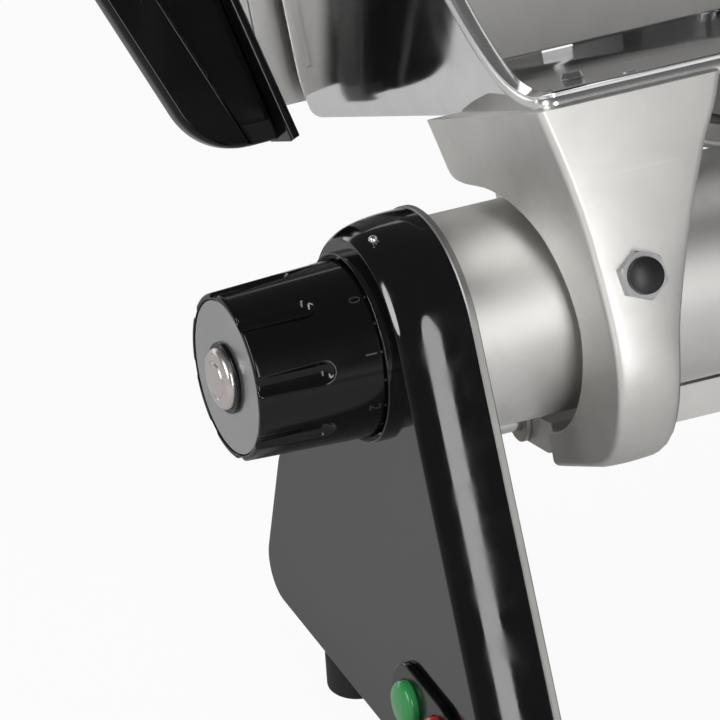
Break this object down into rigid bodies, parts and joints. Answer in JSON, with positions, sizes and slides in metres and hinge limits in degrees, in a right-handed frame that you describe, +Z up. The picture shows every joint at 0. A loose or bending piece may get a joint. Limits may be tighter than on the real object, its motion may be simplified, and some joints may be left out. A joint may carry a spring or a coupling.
{
  "type": "food slicer",
  "caption": "Gravity-feed food slicer with a tilted round blade, a sliding product tray on a tubular beam and a black knob that sets the slice thickness.",
  "frame": {"origin": "centre of the object's box, on the floor it stands on", "axes": "+Z up, +X to the operator's right, +Y away from the operator"},
  "size_m": [0.4716, 0.5157, 0.3389],
  "materials": {
    "black_enamel": "gloss black enamel on cast aluminium",
    "black_moulding": "gloss black moulded plastic",
    "green_moulding": "green moulded plastic",
    "red_moulding": "red moulded plastic",
    "satin_aluminium": "satin, finely blasted aluminium",
    "polished_aluminium": "polished aluminium",
    "dial_face": "grey satin disc",
    "bright_steel": "ground and polished steel",
    "plain_steel": "turned steel",
    "bronze": "sintered bronze",
    "black_rubber": "moulded black rubber",
    "white_nylon": "machined white nylon"
  },
  "bodies": {
    "frame": {"front_upright": "black_enamel", "front_backplate": "satin_aluminium", "knob_collar": "black_enamel", "index_pin": "bright_steel", "beam_tube": "satin_aluminium", "guide_rod": "bright_steel", "rear_upright": "black_enamel", "rear_backplate": "satin_aluminium", "base_pan": "black_enamel", "rubber_feet": "black_rubber", "spindle_plate": "satin_aluminium", "gauge_guide": "satin_aluminium", "switch_bezel": "black_moulding", "cable_gland": "black_moulding", "head_casting": "black_enamel", "belt_cover": "black_enamel", "motor": "plain_steel", "motor_housing": "black_enamel", "blade_bearings": "plain_steel", "drive_belt": "black_rubber", "blade_guard": "satin_aluminium", "cover_knob": "black_moulding", "blade_cover": "polished_aluminium", "cover_stud": "plain_steel", "upright_screws": "plain_steel"},
    "knob": {"thickness_knob": "black_moulding", "knob_face_disc": "dial_face", "knob_cap": "bright_steel", "knob_spindle": "plain_steel", "scroll_cam": "plain_steel"},
    "gauge": {"gauge_rod": "bright_steel", "follower_pin": "plain_steel", "gauge_bracket": "satin_aluminium", "gauge_plate": "polished_aluminium", "gauge_screws": "plain_steel"},
    "carriage": {"carriage_arm": "satin_aluminium", "carriage_slider": "satin_aluminium", "slider_bushes": "bronze", "steady_shoe": "white_nylon", "lock_bush": "plain_steel", "product_tray": "polished_aluminium", "carriage_handle": "black_moulding", "pusher_rod": "bright_steel", "rod_posts": "satin_aluminium", "tray_screws": "plain_steel"},
    "plunger": {"plunger_button": "black_moulding"},
    "pusher_slide": {"pusher_carrier": "satin_aluminium"},
    "pusher": {"pusher_plate": "satin_aluminium", "pusher_grip": "black_moulding", "pusher_spikes": "plain_steel"},
    "blade": {"blade": "bright_steel", "blade_shaft": "plain_steel", "blade_pulley": "plain_steel"},
    "motor_rotor": {"motor_shaft": "plain_steel", "motor_pulley": "plain_steel"},
    "start_button": {"start_button": "green_moulding"},
    "stop_button": {"stop_button": "red_moulding"}
  },
  "joints": [
    {"name": "knob_turn", "type": "hinge", "parent": "frame", "child": "knob", "pos_m": [0.102, -0.253, 0.177], "axis": [0, -1, 0], "range_deg": [0, 300]},
    {"name": "gauge_slide", "type": "slide", "parent": "frame", "child": "gauge", "axis": [-0.866, 0, -0.5], "range_m": [0, 0.0141]},
    {"name": "carriage_slide", "type": "slide", "parent": "frame", "child": "carriage", "axis": [0, 1, 0], "range_m": [-0.025, 0.225]},
    {"name": "blade_spin", "type": "hinge", "parent": "frame", "child": "blade", "pos_m": [0.0245, 0.077, 0.31123], "axis": [0.866, 0, 0.5], "continuous": true},
    {"name": "motor_spin", "type": "hinge", "parent": "frame", "child": "motor_rotor", "pos_m": [0.09802, 0.173, 0.1839], "axis": [0.866, 0, 0.5], "continuous": true},
    {"name": "pusher_slide", "type": "slide", "parent": "carriage", "child": "pusher_slide", "axis": [0.866, 0, 0.5], "range_m": [0, 0.155]},
    {"name": "pusher_swing", "type": "hinge", "parent": "pusher_slide", "child": "pusher", "pos_m": [0.046, 0.102, 0.27399], "axis": [-0.866, 0, -0.5], "range_deg": [0, 80]},
    {"name": "plunger_press", "type": "slide", "parent": "carriage", "child": "plunger", "axis": [-0.866, 0, -0.5], "range_m": [0, 0.004], "stiffness_N_per_m": 900, "springref_m": -0.002},
    {"name": "start_press", "type": "slide", "parent": "frame", "child": "start_button", "axis": [0, 1, 0], "range_m": [0, 0.003], "stiffness_N_per_m": 900, "springref_m": -0.002},
    {"name": "stop_press", "type": "slide", "parent": "frame", "child": "stop_button", "axis": [0, 1, 0], "range_m": [0, 0.003], "stiffness_N_per_m": 900, "springref_m": -0.002}
  ],
  "couplings": [
    {"joint": "gauge_slide", "follows": "knob_turn", "m_per_rad": 0.0026738},
    {"joint": "motor_spin", "follows": "blade_spin", "ratio": 2.1429}
  ]
}
